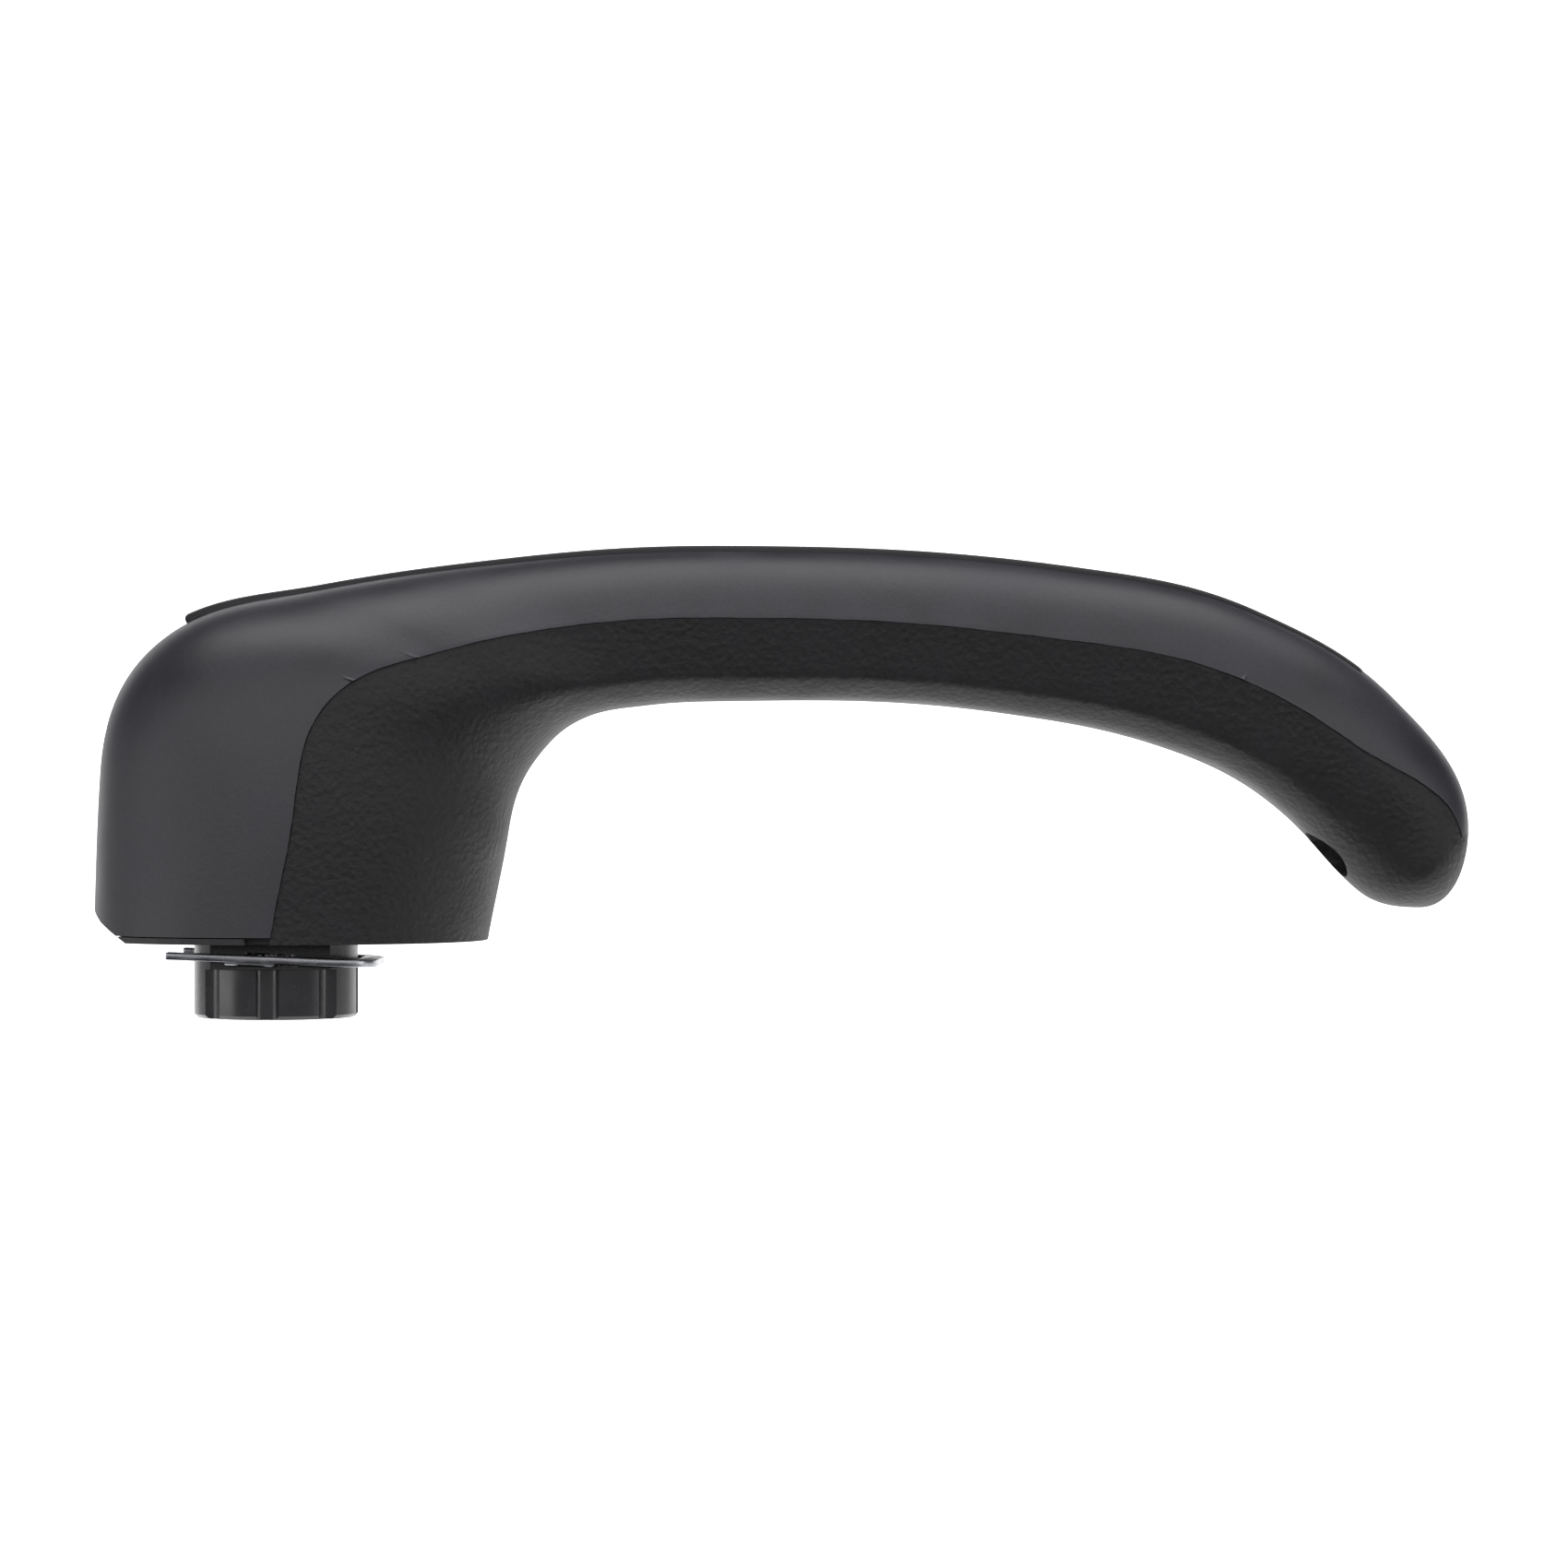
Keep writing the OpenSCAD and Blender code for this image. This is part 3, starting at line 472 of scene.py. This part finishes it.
def innerRing(s):
    section = sectionAt(s)
    chord = section["chord"]
    edge = section["seam"] + shells["gap"] / 2
    ease = min(shells["ease"], 0.4 * edge)
    lower = []
    for i in range(easeSteps + 1):
        turn = math.pi / 2 * i / easeSteps
        lower.append((edge + ease * (1 - math.cos(turn)), ease * (1 - math.sin(turn))))
    start = edge + ease
    lower += [(start + (chord - start) * math.sin(math.pi / 2 * i / sideSteps), 0)
              for i in range(1, sideSteps + 1)]
    sides = {side: [bodyPoint(section, depth, side * max(innerHalf(section, depth) - pull, 0))
                    for depth, pull in lower] for side in (-1, 1)}
    outside = sides[-1] + sides[1][::-1][1:]
    count = len(outside) // 2
    inside = []
    rim = max(innerHalf(section, edge) - ease, 0)
    for i in range(-count, count + 1):
        side = (i > 0) - (i < 0)
        share = 1 - abs(i) / count
        if s <= 8.5:
            wall = lever["wall"]
            depth = edge + (chord - wall - edge) * math.sin(math.pi / 2 * share)
            half = min(skinHalf(section, depth, wall), section["half"] - wall)
            inside.append(bodyPoint(section, depth, -side * max(half, 0)))
        elif s <= tipRow:
            inside.append(bodyPoint(section, edge, -0.9 * rim * i / count))
        else:
            depth = 0.8 * edge * (1 - math.cos(math.pi / 2 * (1 - share)))
            inside.append(bodyPoint(section, depth, -side * innerHalf(section, depth)))
    return outside + inside


outerStations = stationRange([(0, 0.1, 10), (0.1, 2, 40), (2, 7.8, 140), (7.8, 8.9, 40),
                              (8.9, 9, 8)])
for nibStation, nibRadius in shells["nibs"]:
    outerStations += [nibStation + nibRadius * i / 4 / shells["rowSpan"] for i in range(-8, 9)]
outerStations = sorted(set(outerStations))
outerRings = [outerRing(s) for s in outerStations]
outerShell = meshPiece(
    "outerShell", [point for ring in outerRings for point in ring],
    loftFaces(len(outerRings), len(outerRings[0])), satinNylon, "outer_shell", "lever")
cutBelow(outerShell.data, (0, 0, shells["liftAtBase"]), (0, 0, -1))


def heelPlanes():
    # the faces of the relief, with narrow ones between them that ease the edges
    points = [Vector((-hubFront + x, z)) for x, z in shells["heel"]]
    points = [Vector((points[0][0], points[0][1] + 4))] + points + [points[-1] + Vector((4, 0))]
    ways = [(points[i + 1] - points[i]).normalized() for i in range(len(points) - 1)]
    normals = [Vector((way[1], -way[0])) for way in ways]
    normals = [normal if normal[1] < 0 or normal[0] < 0 else -normal for normal in normals]
    planes = [(points[i], normals[i]) for i in range(1, len(normals) - 1)]
    for i in range(1, len(normals)):
        between = (normals[i - 1] + normals[i]).normalized()
        trim = shells["heelEase"] * (1 - normals[i - 1].dot(between))
        for share in (0.25, 0.5, 0.75):
            normal = (normals[i - 1] * (1 - share) + normals[i] * share).normalized()
            planes.append((points[i] - normal * trim * 0.9, normal))
    return planes


for place, normal in heelPlanes():
    cutBelow(outerShell.data, (place[0], 0, place[1]), (normal[0], 0, normal[1]))
finishMesh(outerShell.data, 32)

innerStations = stationRange([(0, 0.05, 6), (0.05, 2, 40), (2, 8.5, 150), (8.501, 9, 18),
                              (9.001, 9.96, 40), (9.96, 9.999, 5)])
innerRings = [innerRing(s) for s in innerStations]
# the inner shell's finish carries painted shade: its base is darker than the grain alone would make
# it
innerShell = meshPiece(
    "innerShell", [point for ring in innerRings for point in ring],
    loftFaces(len(innerRings), len(innerRings[0])), erodedNylonWithPaintedShade, "inner_shell", "lever")

# the round recess under the tip, with its cup and the hole for the screw
recess = dict(
    station=8.52,
    side=1.6,  # how far it stands to one side of the middle
    radius=3.25, depth=3.2,
    cupRadius=4.6, cupFloor=1.6,
    holeRadius=1.7,
    rim=2.2,  # depth where the cup starts, inside the skin
)
mouth = lineAt(underLine, recess["station"])
mouthRun = lineAt(underLine, recess["station"] + 0.02) - lineAt(underLine, recess["station"] - 0.02)
recessWay = Vector((-mouthRun[1], mouthRun[0])).normalized()


def latheMesh(name, profile, steps=72):
    # a closed ring turned round the recess's axis, its profile given as radius and depth
    points, faces = [], []
    for i in range(steps):
        turn = 2 * math.pi * i / steps
        for radius, depth in profile:
            across = radius * math.cos(turn)
            points.append(((mouth[0] + recessWay[0] * depth + recessWay[1] * across) * mm,
                           (radius * math.sin(turn) - recess["side"]) * mm,
                           (mouth[1] + recessWay[1] * depth - recessWay[0] * across) * mm))
    size = len(profile)
    for i in range(steps):
        for j in range(size):
            a = i * size + j
            b = i * size + (j + 1) % size
            c = (i + 1) % steps * size
            faces.append((a, b, c + (j + 1) % size, c + j))
    mesh = bpy.data.meshes.new(name)
    mesh.from_pydata(points, [], faces)
    finishMesh(mesh, 32)
    piece = bpy.data.objects.new(name, mesh)
    bpy.context.scene.collection.objects.link(piece)
    return piece


def applyBoolean(piece, tool, operation):
    step = piece.modifiers.new(operation.lower(), "BOOLEAN")
    step.operation = operation
    step.object = tool
    step.solver = "EXACT"
    bpy.context.view_layer.update()
    graph = bpy.context.evaluated_depsgraph_get()
    shaped = bpy.data.meshes.new_from_object(piece.evaluated_get(graph))
    piece.modifiers.remove(step)
    old = piece.data
    shaped.name = old.name
    piece.data = shaped
    bpy.data.meshes.remove(old)
    bpy.data.objects.remove(tool)


tiny = 0.02
bore = latheMesh("recessBore", [
    (tiny, -3), (recess["radius"], -3), (recess["radius"], recess["depth"]),
    (tiny, recess["depth"])])
applyBoolean(innerShell, bore, "DIFFERENCE")
cup = latheMesh("recessCup", [
    (recess["radius"], recess["rim"]), (recess["cupRadius"], recess["rim"]),
    (recess["cupRadius"], recess["depth"] + recess["cupFloor"]),
    (recess["holeRadius"], recess["depth"] + recess["cupFloor"]),
    (recess["holeRadius"], recess["depth"]), (recess["radius"], recess["depth"])])
applyBoolean(innerShell, cup, "UNION")
finishMesh(innerShell.data, 32)
print("door handle: shells made")

# the strip let into the crown
strip = dict(
    start=2.2, end=7.75,  # stations where it starts and ends
    half=stripHigh[1],
    frontRise=1.05, rise=0.35,  # how far it stands proud
    sink=0.5,  # how far its underside lies in the shell
    ease=0.16,
    nose=0.5,  # rounding of its front end
    noseTaper=0.4,  # how far the nose narrows, as a share of its rounding
    topShare=0.94,  # width of the flat top, as a share of the whole
    edgeDrop=0.3,  # how far the top falls towards its edges
    fadeFrom=6, fade=0.7,  # where the tail starts to thin, and how far it goes
)


def depthFor(section, y):
    # depth at which the crown has fallen far enough to be a given half width wide
    low, high = 0, section["seam"]
    for i in range(22):
        middle = (low + high) / 2
        if skinHalf(section, middle, 0) < y:
            low = middle
        else:
            high = middle
    return (low + high) / 2


def crownNormal(s):
    run = lineAt(crownLine, s + 0.02) - lineAt(crownLine, s - 0.02)
    return Vector((run[1], -run[0])).normalized()


def riseAt(s):
    front = math.exp(strip["start"] - s)
    thinned = strip["fade"] * (s - strip["fadeFrom"]) / (strip["end"] - strip["fadeFrom"])
    fade = 1 if s < strip["fadeFrom"] else 1 - thinned
    return (strip["rise"] + (strip["frontRise"] - strip["rise"]) * front) * fade


def stripRing(s, shrink, drop):
    section = sectionAt(s)
    inward = crownNormal(s)
    across = 12

    def point(y, lift):
        place = bodyPoint(section, depthFor(section, abs(y)) if y else 0, y)
        return (place[0] - lift * inward[0], y, place[2] - lift * inward[1])

    rise = riseAt(s) - drop
    half = strip["half"] - shrink
    ease = min(strip["ease"], 0.45 * rise)
    top = []
    for i in range(across, -across - 1, -1):
        part = i / across
        top.append(point(strip["topShare"] * (half - ease) * part,
                         rise * (1 - strip["edgeDrop"] * abs(part) ** 3)))
    edge = rise * 0.7
    corner = [strip["topShare"] * half, half]
    right = [point(corner[0], edge - ease), point(corner[1], 0.02)]
    left = [point(-corner[0], edge - ease), point(-corner[1], 0.02)]
    bottom = [point(-half * 0.98, -strip["sink"]), point(half * 0.98, -strip["sink"])]
    return right[::-1] + top + left + bottom


def simpleLoft(rings):
    # walls between closed rings and a flat face over each end
    size = len(rings[0])
    faces = []
    for k in range(len(rings) - 1):
        for j in range(size):
            a = k * size + j
            b = k * size + (j + 1) % size
            faces.append((a, b, b + size, a + size))
    faces.append(tuple(range(size)))
    faces.append(tuple(range((len(rings) - 1) * size, len(rings) * size)))
    return faces


stripRings = []
rowLength = (Vector(crownLine[3][:2]) - Vector(crownLine[2][:2])).length
for i in range(9):
    turn = math.pi / 2 * i / 8
    back = strip["nose"] * (1 - math.cos(turn))
    lower = strip["nose"] * (1 - math.sin(turn))
    stripRings.append(
        stripRing(strip["start"] + back / rowLength, strip["noseTaper"] * lower, lower))
firstFull = strip["start"] + strip["nose"] / rowLength + 0.01
stripStations = stationRange([(firstFull, 4, 60), (4, strip["end"] - 0.03, 100)])
stripRings += [stripRing(s, 0, 0) for s in stripStations]
stripRings.append(stripRing(strip["end"], 0.12, 0.04))
meshPiece("crownStrip", [point for ring in stripRings for point in ring],
                       simpleLoft(stripRings), softStrip, "crown_strip", "lever", 28)
print("door handle: strip made")

# the spring clip
clip = dict(
    legIn=6.2, legOut=8.3,  # inner and outer edges of the legs
    freeEnd=11.05, loopEnd=11.4,
    corner=4.0,  # outer bend of the loop
    thickness=0.8,
    edge=0.12,  # rounding of the sheared edges
    tilt=2.3,
    noseStart=-2.6, noseFlat=2.2, noseLength=3.8, noseReach=4.75,
    tabMiddle=-2.0, tabLength=5.4,
)


def arcPoints(centre, radius, fromAngle, toAngle, count):
    points = []
    for i in range(count + 1):
        turn = math.radians(fromAngle + (toAngle - fromAngle) * i / count)
        points.append((centre[0] + radius * math.cos(turn), centre[1] + radius * math.sin(turn)))
    return points


def clipOutline():
    # the flat blank, run round once: out along one leg, round the loop and back inside
    out, inside, corner = clip["legOut"], clip["legIn"], clip["corner"]
    width = out - inside
    bend = clip["loopEnd"] - corner
    round_ = corner - width
    half = arcPoints((-clip["freeEnd"] + 0.25, -out + 0.25), 0.25, 180, 270, 4)
    half += [(-4, -out), (3, -out)]
    half += arcPoints((bend, -out + corner), corner, -90, 0, 14)
    half += [(clip["loopEnd"], -1.5)]
    inner = [(clip["loopEnd"] - width, -1.5)]
    inner += arcPoints((bend, -out + corner), round_, 0, -90, 10)
    noseEnd = clip["noseStart"] + clip["noseLength"]
    flatEnd = clip["noseStart"] + clip["noseFlat"]
    inner += [(3, -inside), (noseEnd, -inside)]
    inner += arcPoints((flatEnd - 0.1, -clip["noseReach"] - 0.4), 0.4, 50, 90, 3)
    inner += arcPoints((clip["noseStart"] + 0.3, -clip["noseReach"] - 0.3), 0.3, 90, 180, 4)
    inner += [(clip["noseStart"], -inside), (-6, -inside)]
    inner += arcPoints((-clip["freeEnd"] + 0.25, -inside - 0.25), 0.25, 90, 180, 4)
    mirror = [(x, -y) for x, y in half[::-1]]
    mirrorIn = [(x, -y) for x, y in inner[::-1]]
    return half + mirror + mirrorIn + inner


def insetOutline(points, inset):
    # the outline moved inwards along the normal of each corner
    moved = []
    for i, point in enumerate(points):
        before = Vector(points[i - 1])
        here = Vector(point)
        after = Vector(points[(i + 1) % len(points)])
        first = (here - before).normalized()
        second = (after - here).normalized()
        way = Vector((-first[1] - second[1], first[0] + second[0]))
        length = max(way.length, 0.2)
        way.normalize()
        moved.append(tuple(here + way * inset * min(2 / length, 1.5)))
    return moved


def eased(thickness, edge, steps):
    # heights and insets through a sheet whose edges are rounded
    layers = []
    for i in range(steps + 1):
        turn = math.pi / 2 * i / steps
        layers.append((-thickness / 2 + edge * (1 - math.sin(turn)), edge * (1 - math.cos(turn))))
    layers = layers[::-1]
    return layers + [(-height, inset) for height, inset in layers[::-1]]


def sheetPiece(outline, layers):
    rings = [[(x, y, height) for x, y in insetOutline(outline, inset)]
             for height, inset in layers]
    return [point for ring in rings for point in ring], simpleLoft(rings)


clipPoints, clipFaces = sheetPiece(clipOutline(), eased(clip["thickness"], clip["edge"], 3))
legMiddle = (clip["legIn"] + clip["legOut"]) / 2
tabHalf = (clip["legOut"] - clip["legIn"]) / 2 - 0.2
for side in (-1, 1):
    # a tab pressed down under each leg, with rounded flanks
    rings = []
    for drop, inset in ((0.1, 0), (-0.2, 0.02), (-0.3, 0.1), (-0.35, 0.25)):
        x0, x1 = -clip["tabLength"] / 2 + inset, clip["tabLength"] / 2 - inset
        y0, y1 = -tabHalf + inset, tabHalf - inset
        rings.append([(clip["tabMiddle"] + x, side * legMiddle + y, -clip["thickness"] / 2 + drop)
                      for x, y in ((x0, y0), (x1, y0), (x1, y1), (x0, y1))])
    start = len(clipPoints)
    clipPoints += [point for ring in rings for point in ring]
    clipFaces += [tuple(start + i for i in face) for face in simpleLoft(rings)]
clipTurn = math.radians(clip["tilt"])
lowest = min(-x * math.sin(clipTurn) + z * math.cos(clipTurn) for x, y, z in clipPoints)
clipLift = clipLow[2] - lowest
clipPlaced = [(x * math.cos(clipTurn) + z * math.sin(clipTurn), y,
               -x * math.sin(clipTurn) + z * math.cos(clipTurn) + clipLift)
              for x, y, z in clipPoints]
meshPiece("retainingClip", clipPlaced, clipFaces, springSteel, "retaining_clip",
                          "clip", 30)
print("door handle: clip made")

# the parts that keep their CAD shape get their own finishes
carried = dict(core_arm=castZinc, spindle_socket=glossAcetal, base_plate=plainNylon,
               base_screws=blackZinc, socket_screws=blackZinc, tip_screw=blackZinc)
for node, material in carried.items():
    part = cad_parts[node]
    part.data.materials.clear()
    part.data.materials.append(material)

# the studio: a white sweep under and behind, soft light from over and before it
studio = dict(
    floorDrop=66.0,  # how far the sweep lies below the base plane
    backWall=1400.0, rise=900.0, width=2600.0, front=36.0, bend=300.0,
    glow=1.0,
)


def sweepMaterial():
    # seamless white paper, lit evenly: plain and pale
    material, tree, output, place = newMaterial("seamlessPaper")
    fibre = addNode(tree, "ShaderNodeTexNoise", {"Scale": perMetre(40), "Detail": 2},
                    {"Vector": (place, "Object")})
    shade = ramp(tree, fibre, "Fac", linear("#fdfdfd"), linear("#ffffff"))
    shader = addNode(tree, "ShaderNodeBsdfPrincipled",
                     {"Roughness": 0.9, "Emission Strength": studio["glow"]},
                     {"Base Color": (shade, "Color")})
    tree.links.new(shade.outputs["Color"], shader.inputs["Emission Color"])
    tree.links.new(shader.outputs["BSDF"], output.inputs["Surface"])
    return material


def makeSweep():
    profile = [(-studio["front"], -studio["floorDrop"])]
    centre = (studio["backWall"] - studio["bend"], -studio["floorDrop"] + studio["bend"])
    for i in range(13):
        turn = math.radians(-90 + 90 * i / 12)
        profile.append((centre[0] + studio["bend"] * math.cos(turn),
                        centre[1] + studio["bend"] * math.sin(turn)))
    profile.append((studio["backWall"], studio["rise"]))
    middle = (cadBox[0][0] + cadBox[1][0]) / 2 / mm
    points = []
    for x in (middle - studio["width"] / 2, middle + studio["width"] / 2):
        points += [(x * mm, y * mm, z * mm) for y, z in profile]
    count = len(profile)
    faces = [(i, i + count, i + count + 1, i + 1) for i in range(count - 1)]
    mesh = bpy.data.meshes.new("studioSweep")
    mesh.from_pydata(points, [], faces)
    mesh.polygons.foreach_set("use_smooth", [True] * len(faces))
    mesh.materials.append(sweepMaterial())
    sweep = bpy.data.objects.new("studioSweep", mesh)
    bpy.context.scene.collection.objects.link(sweep)


makeSweep()


def softLight(name, place, target, size, power, colour="#ffffff"):
    light = bpy.data.lights.new(name, "AREA")
    light.shape = "RECTANGLE"
    light.size, light.size_y = size[0] * mm, size[1] * mm
    light.energy = power
    light.color = linear(colour)[:3]
    lamp = bpy.data.objects.new(name, light)
    lamp.location = [value * mm for value in place]
    way = Vector(target) - Vector(place)
    lamp.rotation_euler = way.to_track_quat("-Z", "Y").to_euler()
    bpy.context.scene.collection.objects.link(lamp)


middleX = (cadBox[0][0] + cadBox[1][0]) / 2 / mm
softLight("overhead", (middleX, -120, 560), (middleX, 0, 20), (800, 420), 3.2)
softLight("frontPanel", (middleX, -1000, 330), (middleX, -100, 330), (4200, 600), 14)
# two low panels at the sides draw the streaks down the spindle socket
softLight("leftPanel", (-564, -205, -10), (0, 0, -5), (300, 90), 0.35)
softLight("rightPanel", (577, -165, -10), (0, 0, -5), (150, 90), 0.25)

world = bpy.data.worlds.new("studioRoom")
bpy.context.scene.world = world
world.use_nodes = True
world.node_tree.nodes["Background"].inputs["Color"].default_value = linear("#58585c")
world.node_tree.nodes["Background"].inputs["Strength"].default_value = 1.0

# the camera stands level with the middle of the handle
view = dict(distance=500.0, lens=105.0, x=55.5, z=17.0)
cameraData = bpy.data.cameras.new("camera")
cameraData.lens = view["lens"]
cameraData.clip_start = 0.01
cameraData.clip_end = 10
camera = bpy.data.objects.new("camera", cameraData)
camera.location = (view["x"] * mm, -view["distance"] * mm, view["z"] * mm)
camera.rotation_euler = (math.pi / 2, 0, 0)
bpy.context.scene.collection.objects.link(camera)
bpy.context.scene.camera = camera
bpy.context.scene.view_settings.view_transform = "Standard"
print("door handle: studio set")
